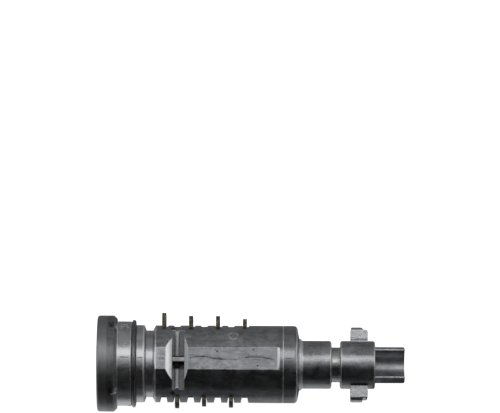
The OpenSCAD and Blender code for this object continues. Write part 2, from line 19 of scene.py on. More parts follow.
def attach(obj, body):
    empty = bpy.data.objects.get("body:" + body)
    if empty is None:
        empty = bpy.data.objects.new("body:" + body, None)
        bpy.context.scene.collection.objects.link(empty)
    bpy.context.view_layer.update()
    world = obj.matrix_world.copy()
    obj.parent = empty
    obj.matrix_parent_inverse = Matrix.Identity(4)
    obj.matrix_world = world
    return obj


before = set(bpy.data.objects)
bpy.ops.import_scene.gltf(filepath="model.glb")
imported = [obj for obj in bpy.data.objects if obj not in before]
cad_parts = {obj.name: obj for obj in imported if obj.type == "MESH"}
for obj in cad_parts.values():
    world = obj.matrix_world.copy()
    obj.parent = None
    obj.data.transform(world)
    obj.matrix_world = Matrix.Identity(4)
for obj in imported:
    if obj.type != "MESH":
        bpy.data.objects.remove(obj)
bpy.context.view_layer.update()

MM = 0.001
CASTING_BODY = "plug"
LOG = logging.getLogger("lock_cylinder")

Colour = tuple[float, float, float]
Socket = bpy.types.NodeSocket
Value = Socket | float
Mixer = Callable[[Value, Value | Colour, Value | Colour], Socket]
Stretch = tuple[float, float]
Faces = list[tuple[int, ...]]

RISE: Stretch = (0.0, 1.0)
FALL: Stretch = (1.0, 0.0)
NOISE_MIDDLE = 0.5
BLACK: Colour = (0.0, 0.0, 0.0)
WHITE: Colour = (1.0, 1.0, 1.0)
PAPER: Colour = (0.8, 0.8, 0.8)


class Slot(Enum):
    """The finishes that the part's record names."""

    CAST = "cast_zinc"
    CAP = "cap_steel"
    MOULDING = "shutter_moulding"
    SHUTTER = "shutter_steel"
    PIN = "pin_steel"
    SPRING = "spring_steel"
    SEAL = "seal_rubber"
    WAFER = "wafer_brass"


@dataclass(frozen=True)
class Cloud:
    """Cloudy noise round 0.5, and the limits between which its patches fade in."""

    size_mm: float
    detail: float = 4.0
    rough: float = 0.55
    twist: float = 0.0
    stretch: Colour = (1.0, 1.0, 1.0)
    shift: float = 0.0
    limits: Stretch = RISE
    ends: Stretch = RISE


@dataclass(frozen=True)
class Band:
    """A stretch of a length in millimetres, and how softly it ends."""

    low: float
    high: float
    edge: float = 0.03


@dataclass(frozen=True)
class Coat:
    """One coat of a colour or a roughness: where it lies, what it is and how thick it is laid."""

    mask: Value
    tint: Value | Colour
    share: float = 1.0


class Graph:
    """A material's node tree, with one short call for each kind of node that the finishes use."""

    edge_turn: Stretch = (0.86, 0.985)
    edge_samples: int = 6
    empty_cells: Stretch = (0.7, 0.74)
    speck_core: float = 0.6

    def __init__(self, name: str) -> None:
        """Starts a material with one shader and the piece's own place in millimetres.

        Args:
            name: the material's name.
        """
        self.material = bpy.data.materials.new(name)
        self.material.use_nodes = True
        self.tree = self.material.node_tree
        self.tree.nodes.clear()
        self.shader = self.tree.nodes.new("ShaderNodeBsdfPrincipled")
        output = self.tree.nodes.new("ShaderNodeOutputMaterial")
        self.tree.links.new(self.shader.outputs[0], output.inputs[0])
        coordinates = self.tree.nodes.new("ShaderNodeTexCoord")
        self.place = self.vector("SCALE", coordinates.outputs["Object"], scale=1 / MM)
        apart = self.add("ShaderNodeSeparateXYZ", {0: self.place})
        self.x, self.y, self.z = apart.outputs[0], apart.outputs[1], apart.outputs[2]

    def add(self, kind: str, inputs: dict[int | str, Value | Colour],
            **settings: str | bool | int) -> bpy.types.Node:
        """Adds a node.

        Args:
            kind: the node's type.
            inputs: what each input is linked or set to.
            settings: the node's own settings.

        Returns:
            The node.
        """
        node = self.tree.nodes.new(kind)
        for name, value in settings.items():
            setattr(node, name, value)
        for key, value in inputs.items():
            self.feed(node.inputs[key], value)
        return node

    def feed(self, socket: Socket, value: Value | Colour) -> None:
        """Links a socket to another one, or sets its number or colour.

        Args:
            socket: the input.
            value: what it gets.
        """
        if isinstance(value, bpy.types.NodeSocket):
            self.tree.links.new(value, socket)
        elif socket.type == "RGBA":
            socket.default_value = (*value, 1.0)
        else:
            socket.default_value = value

    def set(self, **values: Value | Colour) -> None:
        """Sets or links the shader's sockets.

        Args:
            values: each socket's value, under its name in small letters with _ for a space.
        """
        names = {s.name.lower().replace(" ", "_"): s for s in self.shader.inputs}
        for name, value in values.items():
            self.feed(names[name], value)

    def math(self, operation: str, a: Value, b: Value = 0.0) -> Socket:
        """Returns the result of a Math node on one or two numbers."""
        return self.add("ShaderNodeMath", {0: a, 1: b}, operation=operation).outputs[0]

    def vector(self, operation: str, a: Value, b: Value | Colour = BLACK, scale: float = 1.0) -> Socket:
        """Returns the result of a Vector Math node, which is a number for a dot product or a length."""
        node = self.add("ShaderNodeVectorMath", {0: a, 1: b, 3: scale}, operation=operation)
        return node.outputs["Value" if operation in ("DOT_PRODUCT", "LENGTH") else "Vector"]

    def spread(self, value: Value, limits: Stretch, ends: Stretch = RISE) -> Socket:
        """Eases a value between two limits.

        Args:
            value: the value.
            limits: where the easing starts and stops.
            ends: what the result is before and after it.

        Returns:
            The eased value.
        """
        inputs = {"Value": value, "From Min": limits[0], "From Max": limits[1],
                  "To Min": ends[0], "To Max": ends[1]}
        return self.add("ShaderNodeMapRange", inputs, interpolation_type="SMOOTHSTEP").outputs[0]

    def within(self, value: Value, band: Band) -> Socket:
        """Returns a mask that is 1 inside a band of the value and 0 outside it."""
        rising = self.spread(value, (band.low - band.edge, band.low + band.edge))
        return self.both(rising, self.spread(value, (band.high - band.edge, band.high + band.edge), FALL))

    def both(self, *masks: Value) -> Value:
        """Finds where several masks overlap.

        Args:
            masks: the masks, or shares of one.

        Returns:
            Their product.
        """
        product = masks[0]
        for mask in masks[1:]:
            product = self.math("MULTIPLY", product, mask)
        return product

    def either(self, *masks: Value) -> Value:
        """Joins several masks.

        Args:
            masks: the masks.

        Returns:
            The highest of them.
        """
        highest = masks[0]
        for mask in masks[1:]:
            highest = self.math("MAXIMUM", highest, mask)
        return highest

    def total(self, *values: Value) -> Value:
        """Adds several values up.

        Args:
            values: the values.

        Returns:
            Their sum.
        """
        total = values[0]
        for value in values[1:]:
            total = self.math("ADD", total, value)
        return total

    def reach(self, a: Value, b: Value) -> Socket:
        """Returns how far a place is from an axis, from its two distances across it."""
        return self.math("SQRT", self.total(self.both(a, a), self.both(b, b)))

    def blend(self, factor: Value, a: Value | Colour, b: Value | Colour) -> Socket:
        """Returns the colour that goes from a to b with the factor."""
        return self.add("ShaderNodeMix", {0: factor, 6: a, 7: b}, data_type="RGBA").outputs[2]

    def level(self, factor: Value, a: Value, b: Value) -> Socket:
        """Returns the number that goes from a to b with the factor."""
        return self.add("ShaderNodeMix", {0: factor, 2: a, 3: b}, data_type="FLOAT").outputs[0]

    def coats(self, mix: Mixer, ground: Value | Colour, *coats: Coat) -> Socket:
        """Lays coats over a ground in turn.

        Args:
            mix: how a coat covers what is under it: blend for colours, level for numbers.
            ground: what lies under all the coats.
            coats: the coats, the lowest first.

        Returns:
            What shows in the end.
        """
        for coat in coats:
            ground = mix(self.both(coat.mask, coat.share), ground, coat.tint)
        return ground

    def noise(self, cloud: Cloud) -> Socket:
        """Makes cloudy noise.

        Args:
            cloud: its size and shape.

        Returns:
            A number round 0.5.
        """
        shifted = self.vector("ADD", self.place, (cloud.shift, cloud.shift, cloud.shift))
        place = self.vector("MULTIPLY", shifted, cloud.stretch)
        inputs = {"Vector": place, "Scale": 1 / cloud.size_mm, "Detail": cloud.detail,
                  "Roughness": cloud.rough, "Distortion": cloud.twist}
        return self.add("ShaderNodeTexNoise", inputs).outputs["Fac"]

    def patches(self, cloud: Cloud) -> Socket:
        """Returns a mask of the patches where the noise passes its limits."""
        return self.spread(self.noise(cloud), cloud.limits, cloud.ends)

    def specks(self, size_mm: float, radius: float) -> Socket:
        """Makes small scattered specks.

        Args:
            size_mm: the width of the cells that hold a speck or none.
            radius: a speck's radius, as a share of a cell.

        Returns:
            A mask that is 1 in the specks.
        """
        cells = self.add("ShaderNodeTexVoronoi", {"Vector": self.place, "Scale": 1 / size_mm})
        draw = self.add("ShaderNodeSeparateColor", {0: cells.outputs["Color"]}).outputs[0]
        near = self.spread(cells.outputs["Distance"], (radius * self.speck_core, radius), FALL)
        return self.both(near, self.spread(draw, self.empty_cells))

    def soft_normal(self, radius_mm: float) -> tuple[Socket, Socket]:
        """Rounds the edges in the shading.

        Args:
            radius_mm: the radius of the rounding.

        Returns:
            The rounded normal, and a mask that is 1 on the edges.
        """
        inputs = {"Radius": radius_mm * MM}
        rounded = self.add("ShaderNodeBevel", inputs, samples=self.edge_samples).outputs[0]
        plain = self.add("ShaderNodeNewGeometry", {}).outputs["Normal"]
        return rounded, self.spread(self.vector("DOT_PRODUCT", rounded, plain), self.edge_turn, FALL)

    def bump(self, height: Value, depth_mm: float, normal: Socket) -> Socket:
        """Returns the normal with a relief of the given depth."""
        inputs = {"Height": height, "Distance": depth_mm * MM, "Strength": 1.0, "Normal": normal}
        return self.add("ShaderNodeBump", inputs).outputs[0]


class Finish(Protocol):
    """What a finish has to offer."""

    def build(self) -> bpy.types.Material:
        """Returns the finish's material."""


@dataclass(frozen=True)
class Regions:
    """Masks of the casting's regions, each 1 inside its region and 0 outside it."""

    tail: Value
    head_end: Value
    rear_end: Value
    neck: Value
    lug: Value
    lip: Value
    front_lip: Value
    rear_lip: Value
    ridge: Value
    cut_floor: Value
    shaded_hollows: Value
    flat: Value
    ramp: Value
    nicks: Value
    trough: Value
    corner: Value


@dataclass(frozen=True)
class CastPlaces:
    """Where the casting's regions lie: along the lock, or across (_y), up (_z) and from the axis (_r)."""

    head_end: Band = Band(4.1, 12.1, 0.1)
    barrel_r: Stretch = (7.9, 7.95)
    cut: Band = Band(14.1, 18.85)
    lip_z: Band = Band(6.6, 7.61, 0.02)
    front_lip_z: Stretch = (6.6, 7.4)
    front_lip_ends: Stretch = (0.1, 0.8)
    rear_lip: Stretch = (17.1, 17.2)
    ridge: Band = Band(15.95, 17.1)
    ridge_z: Band = Band(5.06, 5.6, 0.02)
    floor_z: Band = Band(4.5, 5.06, 0.02)
    well_z: Stretch = (4.8, 4.9)
    sill_y: Band = Band(-1.9, -1.1, 0.25)
    sill_z: Stretch = (5.5, 5.6)
    gaps: Band = Band(12.2, 33.0)
    gaps_y: Stretch = (5.6, 6.0)
    gaps_z: Stretch = (4.4, 4.8)
    gaps_shade: float = 0.75
    flat: Band = Band(18.8, 37.25, 0.3)
    flat_y: Stretch = (2.2, 2.5)
    flat_z: Band = Band(7.55, 7.66, 0.01)
    ramp: Band = Band(37.2, 37.65)
    rear_end: Band = Band(37.4, 41.2, 0.1)
    tail: Stretch = (41.6, 42.4)
    neck: Band = Band(48.5, 50.15, 0.15)
    lug: Band = Band(52.2, 56.2)
    lug_y: Stretch = (5.0, 5.15)
    trough: Band = Band(57.5, 63.5)
    trough_axis_z: float = 1.6
    trough_r: Stretch = (2.78, 2.83)
    corner_edge: float = 0.05
    corners: tuple[Stretch, ...] = (
        (4.08, 4.35), (6.9, 7.2), (8.0, 8.15), (9.45, 9.85), (11.7, 12.2), (38.3, 38.5),
        (41.1, 41.35), (41.75, 42.5), (48.1, 48.4), (50.2, 50.45), (57.1, 57.4))
    nick_core: float = 0.4
    nicks_x_y_r: tuple[Colour, ...] = (
        (19.3, 0.0, 0.18), (24.8, 1.4, 0.28), (32.2, 1.8, 0.22), (33.1, -1.5, 0.24), (20.8, -1.95, 0.16))

    def nicks(self, g: Graph) -> Value:
        """Finds the nicks that the flat has taken in use.

        Args:
            g: the material's graph.

        Returns:
            A mask that is 1 in the nicks.
        """
        marks = []
        for x, y, radius in self.nicks_x_y_r:
            away = g.vector("LENGTH", g.vector("SUBTRACT", g.place, (x, y, self.flat_z.high)))
            marks.append(g.spread(away, (radius * self.nick_core, radius), FALL))
        return g.either(*marks)

    def regions(self, g: Graph) -> Regions:
        """Finds where each region of the casting is.

        Args:
            g: the material's graph.

        Returns:
            A mask for each region.
        """
        aside, upright = g.math("ABSOLUTE", g.y), g.math("ABSOLUTE", g.z)
        hollow = g.spread(g.reach(g.y, g.z), self.barrel_r, FALL)
        cut = g.both(g.within(g.x, self.cut), hollow)
        lip = g.both(cut, g.within(g.z, self.lip_z))
        # Masks for painted shade: the well at the cut's bottom, the window's sill and the gaps beside the
        # wafers.
        well = g.both(cut, g.spread(g.z, self.well_z, FALL))
        sill = g.both(cut, g.spread(g.z, self.sill_z, FALL), g.within(g.y, self.sill_y))
        gaps = g.both(g.within(g.x, self.gaps), hollow, g.spread(aside, self.gaps_y),
                      g.spread(upright, self.gaps_z, FALL))
        flat_width = g.spread(aside, self.flat_y, FALL)
        flat = g.both(g.within(g.z, self.flat_z), g.within(g.x, self.flat), flat_width)
        above_flat = g.spread(g.z, (self.flat_z.low, self.flat_z.high))
        trough = g.reach(g.y, g.math("SUBTRACT", g.z, self.trough_axis_z))
        corners = [g.within(g.x, Band(low, high, self.corner_edge)) for low, high in self.corners]
        return Regions(
            tail=g.spread(g.x, self.tail),
            head_end=g.within(g.x, self.head_end),
            rear_end=g.within(g.x, self.rear_end),
            neck=g.within(g.x, self.neck),
            lug=g.both(g.within(g.x, self.lug), g.spread(aside, self.lug_y)),
            lip=lip,
            front_lip=g.both(lip, g.spread(g.z, self.front_lip_z, self.front_lip_ends)),
            rear_lip=g.both(lip, g.spread(g.x, self.rear_lip)),
            ridge=g.both(cut, g.within(g.z, self.ridge_z), g.within(g.x, self.ridge)),
            cut_floor=g.both(cut, g.within(g.z, self.floor_z)),
            shaded_hollows=g.either(sill, well, g.both(gaps, self.gaps_shade)),
            flat=flat,
            ramp=g.both(g.within(g.x, self.ramp), above_flat, flat_width),
            nicks=g.both(flat, self.nicks(g)),
            trough=g.both(g.within(g.x, self.trough), g.spread(trough, self.trough_r, FALL)),
            corner=g.either(*corners),
        )


@dataclass(frozen=True)
class CastWear:
    """What the casting's colour, roughness and relief share: its noises, what has worn or pitted it, and the
    highlights painted on its edges and corners.
    """

    clouds: Socket
    fine: Socket
    rubbed_and_glint: Value
    pits: Value


@dataclass(frozen=True)
class CastZinc:
    """Die-cast zinc that has darkened with handling: smooth where it runs in its bore, rough on the tail,
    with shade painted into its cut and gaps and highlights painted on its edges, lips and head end.
    """

    name: str = "cast_zinc_aged"
    dark: Colour = (0.235, 0.24, 0.255)
    light: Colour = (0.43, 0.44, 0.46)
    bare: Colour = (0.84, 0.85, 0.87)
    grime_and_shade: Colour = (0.03, 0.029, 0.027)
    verdigris: Colour = (0.62, 0.7, 0.62)
    smooth: float = 0.22
    worn: float = 0.33
    coarse: float = 0.48
    frosted: float = 0.75
    flat_coarse: float = 0.6
    grainy: float = 0.14
    places: CastPlaces = CastPlaces()
    edge_mm: float = 0.18
    relief_mm: float = 0.035
    clouds: Cloud = Cloud(2.6, 5.0, 0.6, 0.6)
    fine: Cloud = Cloud(0.32, 5.0, 0.62)
    streaks: Cloud = Cloud(0.5, 4.0, 0.6, 0.0, (0.12, 1.0, 1.0), 7.0)
    streaks_share: float = 0.4
    stains: Cloud = Cloud(1.2, 6.0, 0.62, 1.2, shift=31.0, limits=(0.5, 0.66))
    blotches: Cloud = Cloud(1.5, 5.0, 0.6, 0.9, shift=50.0, limits=(0.4, 0.62), ends=(0.05, 0.55))
    crust: Cloud = Cloud(0.55, 5.0, 0.65, 0.8, shift=18.0, limits=(0.42, 0.6))
    rubbing: Cloud = Cloud(0.7, 4.0, 0.7, shift=3.0, limits=(0.36, 0.58), ends=(0.45, 1.0))
    dents: Cloud = Cloud(1.1, 3.0, 0.6, 0.5, shift=40.0)
    ripples: Cloud = Cloud(2.2, 4.0, 0.55, 1.2, shift=12.0)
    scrapes: Cloud = Cloud(0.12, 3.0, 0.5, 0.0, (1.0, 0.08, 0.08), 5.0)
    tone_limits: Stretch = (0.34, 0.64)
    fine_limits: Stretch = (0.42, 0.64)
    wear_limits: Stretch = (0.35, 0.65)
    corner_limits: Stretch = (0.3, 0.6)
    corner_ends: Stretch = (0.6, 0.95)
    pit_cell_mm: float = 1.3
    pit_radius: float = 0.11
    grain_height: float = 0.25
    tail_grain_height: float = 0.3
    uneven_grain_height: float = 0.35
    dent_height: float = 1.6
    ripple_heights: Stretch = (0.5, 2.6)
    scrape_height: float = 0.25
    pit_depth: float = -0.8

    def colour(self, g: Graph, at: Regions, wear: CastWear) -> Socket:
        """Lays the casting's colours over each other.

        Args:
            g: the material's graph.
            at: the casting's regions.
            wear: its shared noises and marks.

        Returns:
            The colour.
        """
        tone = g.level(self.streaks_share, wear.clouds, g.noise(self.streaks))
        ground = g.blend(g.spread(tone, self.tone_limits), self.dark, self.light)
        specked = g.both(g.spread(wear.fine, self.fine_limits), at.tail)
        return g.coats(
            g.blend, ground,
            Coat(g.patches(self.stains), self.dark, share=0.28),
            # Painted shade and highlight: the rear end is darkened and the head end lightened to set how
            # bright their highlights show.
            Coat(at.rear_end, self.dark, share=0.45),
            Coat(at.head_end, self.bare, share=0.3),
            Coat(g.both(at.flat, g.patches(self.blotches)), self.dark),
            Coat(specked, self.bare, share=0.12),
            Coat(at.lug, self.bare, share=0.12),
            Coat(g.both(at.neck, g.patches(self.crust)), self.verdigris, share=0.5),
            # Edges worn bare, and corners painted bare as highlights.
            Coat(wear.rubbed_and_glint, self.bare),
            # Painted highlight, partly wear: the lips of the cross cut are laid bare to light them.
            Coat(g.either(at.rear_lip, at.front_lip), self.bare),
            # Painted shade: the cut's floor, the window's sill, the well and the gaps are laid dark. The
            # pits are dark pitting.
            Coat(at.cut_floor, self.grime_and_shade, share=0.75),
            # Painted highlight, partly wear: the ridge in the cut is laid bare to light it.
            Coat(at.ridge, self.bare, share=0.65),
            Coat(at.ramp, self.bare),
            Coat(at.shaded_hollows, self.grime_and_shade),
            Coat(wear.pits, self.grime_and_shade, share=0.8),
        )

    def roughness(self, g: Graph, at: Regions, wear: CastWear) -> Socket:
        """Finds how rough the casting is.

        Args:
            g: the material's graph.
            at: the casting's regions.
            wear: its shared noises and marks.

        Returns:
            The roughness.
        """
        laid = g.coats(
            g.level, g.level(g.spread(wear.clouds, self.wear_limits), self.smooth, self.worn),
            Coat(g.either(at.trough, g.both(at.flat, self.flat_coarse)), self.coarse),
            Coat(at.trough, self.worn, share=0.4),
            Coat(g.either(wear.rubbed_and_glint, at.ramp), self.coarse),
            Coat(g.either(at.rear_lip, at.ridge), self.frosted),
        )
        return g.total(laid, g.both(g.math("SUBTRACT", wear.fine, NOISE_MIDDLE), self.grainy))

    def relief(self, g: Graph, at: Regions, wear: CastWear) -> Value:
        """Finds the casting's fine relief.

        Args:
            g: the material's graph.
            at: the casting's regions.
            wear: its shared noises and marks.

        Returns:
            The height.
        """
        uneven = g.either(at.neck, at.lug)
        plain_grain = g.level(at.tail, self.grain_height, self.tail_grain_height)
        return g.total(
            g.both(wear.fine, g.level(uneven, plain_grain, self.uneven_grain_height)),
            g.both(g.noise(self.dents), uneven, self.dent_height),
            g.both(g.noise(self.ripples), g.level(at.flat, *self.ripple_heights)),
            g.both(g.noise(self.scrapes), at.lip, self.scrape_height),
            g.both(wear.pits, self.pit_depth),
        )

    def build(self) -> bpy.types.Material:
        """Builds the zinc.

        Returns:
            The casting's material.
        """
        g = Graph(self.name)
        rounded, edge = g.soft_normal(self.edge_mm)
        at = self.places.regions(g)
        clouds = g.noise(self.clouds)
        # Painted highlight: bright bare lines on the groove and step corners, broken up by noise.
        corner_glint = g.both(at.corner, g.spread(clouds, self.corner_limits, self.corner_ends))
        wear = CastWear(
            clouds=clouds,
            fine=g.noise(self.fine),
            rubbed_and_glint=g.either(g.both(edge, g.patches(self.rubbing)), corner_glint),
            pits=g.either(g.specks(self.pit_cell_mm, self.pit_radius), at.nicks),
        )
        g.set(base_color=self.colour(g, at, wear), metallic=1.0, roughness=self.roughness(g, at, wear),
              normal=g.bump(self.relief(g, at, wear), self.relief_mm, rounded))
        return g.material


@dataclass(frozen=True)
class SatinCap:
    """Dark satin sheet steel, drawn over the head and crimped, with the crimps scuffed bare and shade
    painted dark in the hollows beside them.
    """

    name: str = "cap_dark_satin"
    dark: Colour = (0.155, 0.158, 0.165)
    light: Colour = (0.26, 0.265, 0.275)
    pale: Colour = (0.42, 0.425, 0.435)
    bare: Colour = (0.9, 0.9, 0.91)
    grime_and_shade: Colour = (0.03, 0.03, 0.03)
    satin: float = 0.45
    uneven: float = 0.2
    crimps: int = 4
    front: Stretch = (1.9, 2.2)
    front_share: float = 0.4
    crimp: Stretch = (3.25, 3.6)
    crimp_degrees: Stretch = (3.4, 4.9)
    hollow: Band = Band(2.5, 3.5, 0.25)
    hollow_degrees: Stretch = (4.0, 7.0)
    scuff: Stretch = (3.7, 3.95)
    scuff_ends: Stretch = (0.35, 1.0)
    edge_mm: float = 0.2
    relief_mm: float = 0.02
    clouds: Cloud = Cloud(1.8, 5.0, 0.6, 0.4)
    brushed: Cloud = Cloud(0.22, 4.0, 0.6, 0.0, (1.0, 0.05, 0.05), 4.0)
    brushed_share: float = 0.4
    fine: Cloud = Cloud(0.16, 4.0, 0.6)
    chips: Cloud = Cloud(0.45, 4.0, 0.7, shift=9.0, limits=(0.48, 0.6), ends=(0.05, 0.6))
    scuffs: Cloud = Cloud(0.5, 4.0, 0.7, 1.0, shift=2.0, limits=(0.34, 0.5))
    hollow_shade: Cloud = Cloud(0.6, 4.0, 0.7, 1.0, shift=21.0, limits=(0.4, 0.55), ends=(0.2, 0.9))
    tone_limits: Stretch = (0.36, 0.64)
    fine_height: float = 0.5
    brushed_height: float = 0.25

    def from_crimp(self, g: Graph) -> Socket:
        """Finds how far a place lies from a crimp.

        Args:
            g: the material's graph.

        Returns:
            The degrees round the cap from the nearest crimp's middle.
        """
        spacing = 360.0 / self.crimps
        angle = g.both(g.math("ARCTAN2", g.y, g.z), 180 / math.pi)
        turn = g.math("MODULO", g.total(angle, 360.0), spacing)
        return g.math("ABSOLUTE", g.math("SUBTRACT", turn, spacing / 2))

    def build(self) -> bpy.types.Material:
        """Builds the satin steel.

        Returns:
            The cap's material.
        """
        g = Graph(self.name)
        rounded, edge = g.soft_normal(self.edge_mm)
        turn = self.from_crimp(g)
        crimp = g.both(g.spread(turn, self.crimp_degrees, FALL), g.spread(g.x, self.crimp))
        hollow = g.both(g.spread(turn, self.hollow_degrees, FALL), g.within(g.x, self.hollow))
        clouds, brushed = g.noise(self.clouds), g.noise(self.brushed)
        tone = g.level(self.brushed_share, clouds, brushed)
        chipped = g.both(edge, g.patches(self.chips))
        scuffed = g.both(crimp, g.patches(self.scuffs), g.spread(g.x, self.scuff, self.scuff_ends))
        colour = g.coats(
            g.blend, g.blend(g.spread(tone, self.tone_limits), self.dark, self.light),
            Coat(g.spread(g.x, self.front, FALL), self.pale, self.front_share),
            # Painted shade: the hollows beside the crimps are laid dark in patches.
            Coat(g.both(hollow, g.patches(self.hollow_shade)), self.grime_and_shade),
            Coat(g.either(chipped, scuffed), self.bare),
        )
        rough = g.total(self.satin, g.both(g.math("SUBTRACT", clouds, NOISE_MIDDLE), self.uneven))
        relief = g.total(g.both(g.noise(self.fine), self.fine_height), g.both(brushed, self.brushed_height))
        g.set(base_color=colour, metallic=1.0, roughness=rough,
              normal=g.bump(relief, self.relief_mm, rounded))
        return g.material


@dataclass(frozen=True)
class SealRubber:
    """Black nitrile rubber, a little greasy, with dust in its pores."""

    name: str = "seal_black_rubber"
    black: Colour = (0.008, 0.008, 0.009)
    dusty: Colour = (0.04, 0.038, 0.036)
    ior: float = 1.8
    sheen_level: float = 0.95
    edge_mm: float = 0.08
    relief_mm: float = 0.03
    clouds: Cloud = Cloud(0.9, 5.0, 0.65, 0.5)
    clouds_height: float = 0.4
    fine: Cloud = Cloud(0.12, 4.0, 0.6)
    dust_limits: Stretch = (0.48, 0.66)
    dust_shares: Stretch = (0.4, 0.9)
    wear_limits: Stretch = (0.3, 0.7)
    rough: Stretch = (0.22, 0.38)

    def build(self) -> bpy.types.Material:
        """Builds the rubber.

        Returns:
            The seal's material.
        """
        g = Graph(self.name)
        rounded, edge = g.soft_normal(self.edge_mm)
        clouds = g.noise(self.clouds)
        dust = g.both(g.spread(clouds, self.dust_limits), g.level(edge, *self.dust_shares))
        relief = g.level(self.clouds_height, g.noise(self.fine), clouds)
        g.set(base_color=g.blend(dust, self.black, self.dusty), metallic=0.0, ior=self.ior,
              specular_ior_level=self.sheen_level, roughness=g.spread(clouds, self.wear_limits, self.rough),
              normal=g.bump(relief, self.relief_mm, rounded))
        return g.material


@dataclass(frozen=True)
class Moulding:
    """Black glass-filled moulding of the shutter's frame."""

    name: str = "shutter_black_moulding"
    black: Colour = (0.012, 0.012, 0.013)
    worn: Colour = (0.05, 0.05, 0.052)
    sheen_level: float = 0.5
    edge_mm: float = 0.1
    relief_mm: float = 0.02
    flow: Cloud = Cloud(1.1, 4.0, 0.6, 0.3, (0.5, 1.0, 1.0))
    grain: Cloud = Cloud(0.09, 3.0, 0.6)
    worn_limits: Stretch = (0.4, 0.6)
    worn_shares: Stretch = (0.2, 0.7)
    wear_limits: Stretch = (0.3, 0.7)
    rough: Stretch = (0.42, 0.58)

    def build(self) -> bpy.types.Material:
        """Builds the moulding's plastic.

        Returns:
            The moulding's material.
        """
        g = Graph(self.name)
        rounded, edge = g.soft_normal(self.edge_mm)
        flow = g.noise(self.flow)
        worn = g.both(edge, g.spread(flow, self.worn_limits, self.worn_shares))
        g.set(base_color=g.blend(worn, self.black, self.worn), metallic=0.0,
              specular_ior_level=self.sheen_level, roughness=g.spread(flow, self.wear_limits, self.rough),
              normal=g.bump(g.noise(self.grain), self.relief_mm, rounded))
        return g.material


@dataclass(frozen=True)
class SheetMetal:
    """Rolled or drawn metal with a lay, tarnish and rubbed edges, in the colour of its alloy."""

    name: str
    fresh: Colour
    tarnish: Colour
    stain: Colour
    smooth: float
    dull: float
    lay: Colour
    edge_mm: float = 0.08
    rub: float = 0.6
    tarnish_size_mm: float = 0.8
    line_mm: float = 0.09
    grease_and_shade_mm: float = 0.0
    grease_and_shade_edge_mm: float = 0.5
    grease_and_shade: Colour = (0.012, 0.011, 0.009)
    relief_mm: float = 0.015
    spots: Cloud = Cloud(0.35, 5.0, 0.7, 1.0, shift=15.0, limits=(0.55, 0.68))
    spots_share: float = 0.7
    tarnish_limits: Stretch = (0.34, 0.6)
    dull_limits: Stretch = (0.3, 0.65)
    clouds_height: float = 0.5

    def build(self) -> bpy.types.Material:
        """Builds the metal.

        Returns:
            Its material.
        """
        g = Graph(self.name)
        rounded, edge = g.soft_normal(self.edge_mm)
        clouds = g.noise(Cloud(self.tarnish_size_mm, detail=5.0, rough=0.62, twist=0.8))
        lines = g.noise(Cloud(self.line_mm, detail=3.0, rough=0.6, stretch=self.lay, shift=6.0))
        colour = g.coats(
            g.blend, g.blend(g.spread(clouds, self.tarnish_limits), self.fresh, self.tarnish),
            Coat(g.patches(self.spots), self.stain, self.spots_share),
            Coat(edge, self.fresh, self.rub),
        )
        # Darker within this reach of the axis, where the wafer runs into the barrel: grease and painted
        # shade.
        if self.grease_and_shade_mm:
            border = (self.grease_and_shade_mm - self.grease_and_shade_edge_mm, self.grease_and_shade_mm)
            colour = g.blend(g.spread(g.math("ABSOLUTE", g.y), border, FALL), colour, self.grease_and_shade)
        rough = g.level(g.spread(clouds, self.dull_limits), self.smooth, self.dull)
        relief = g.level(self.clouds_height, lines, clouds)
        g.set(base_color=colour, metallic=1.0, roughness=rough,
              normal=g.bump(relief, self.relief_mm, rounded))
        return g.material


FINISHES: dict[Slot, Finish] = {
    Slot.CAST: CastZinc(),
    Slot.CAP: SatinCap(),
    Slot.MOULDING: Moulding(),
    Slot.SEAL: SealRubber(),
    Slot.WAFER: SheetMetal(
        "wafer_tarnished_brass", fresh=(0.13, 0.114, 0.085), tarnish=(0.055, 0.05, 0.039),
        stain=(0.028, 0.025, 0.02), smooth=0.3, dull=0.48, lay=(1.0, 0.2, 1.0), rub=0.5, grease_and_shade_mm=6.5),
    Slot.SHUTTER: SheetMetal(
        "shutter_rolled_steel", fresh=(0.62, 0.62, 0.61), tarnish=(0.4, 0.4, 0.4),
        stain=(0.16, 0.15, 0.14), smooth=0.22, dull=0.36, lay=(1.0, 0.06, 1.0), rub=0.4,
        tarnish_size_mm=2.0),
    Slot.PIN: SheetMetal(
        "pin_ground_steel", fresh=(0.6, 0.6, 0.6), tarnish=(0.45, 0.45, 0.46),
        stain=(0.2, 0.19, 0.18), smooth=0.16, dull=0.28, lay=(1.0, 0.05, 1.0), edge_mm=0.05, rub=0.3),
    Slot.SPRING: SheetMetal(
        "spring_drawn_steel", fresh=(0.58, 0.57, 0.55), tarnish=(0.33, 0.32, 0.3),
        stain=(0.14, 0.12, 0.1), smooth=0.2, dull=0.34, lay=(0.4, 0.4, 0.4), edge_mm=0.03, rub=0.2,
        tarnish_size_mm=0.5),
}


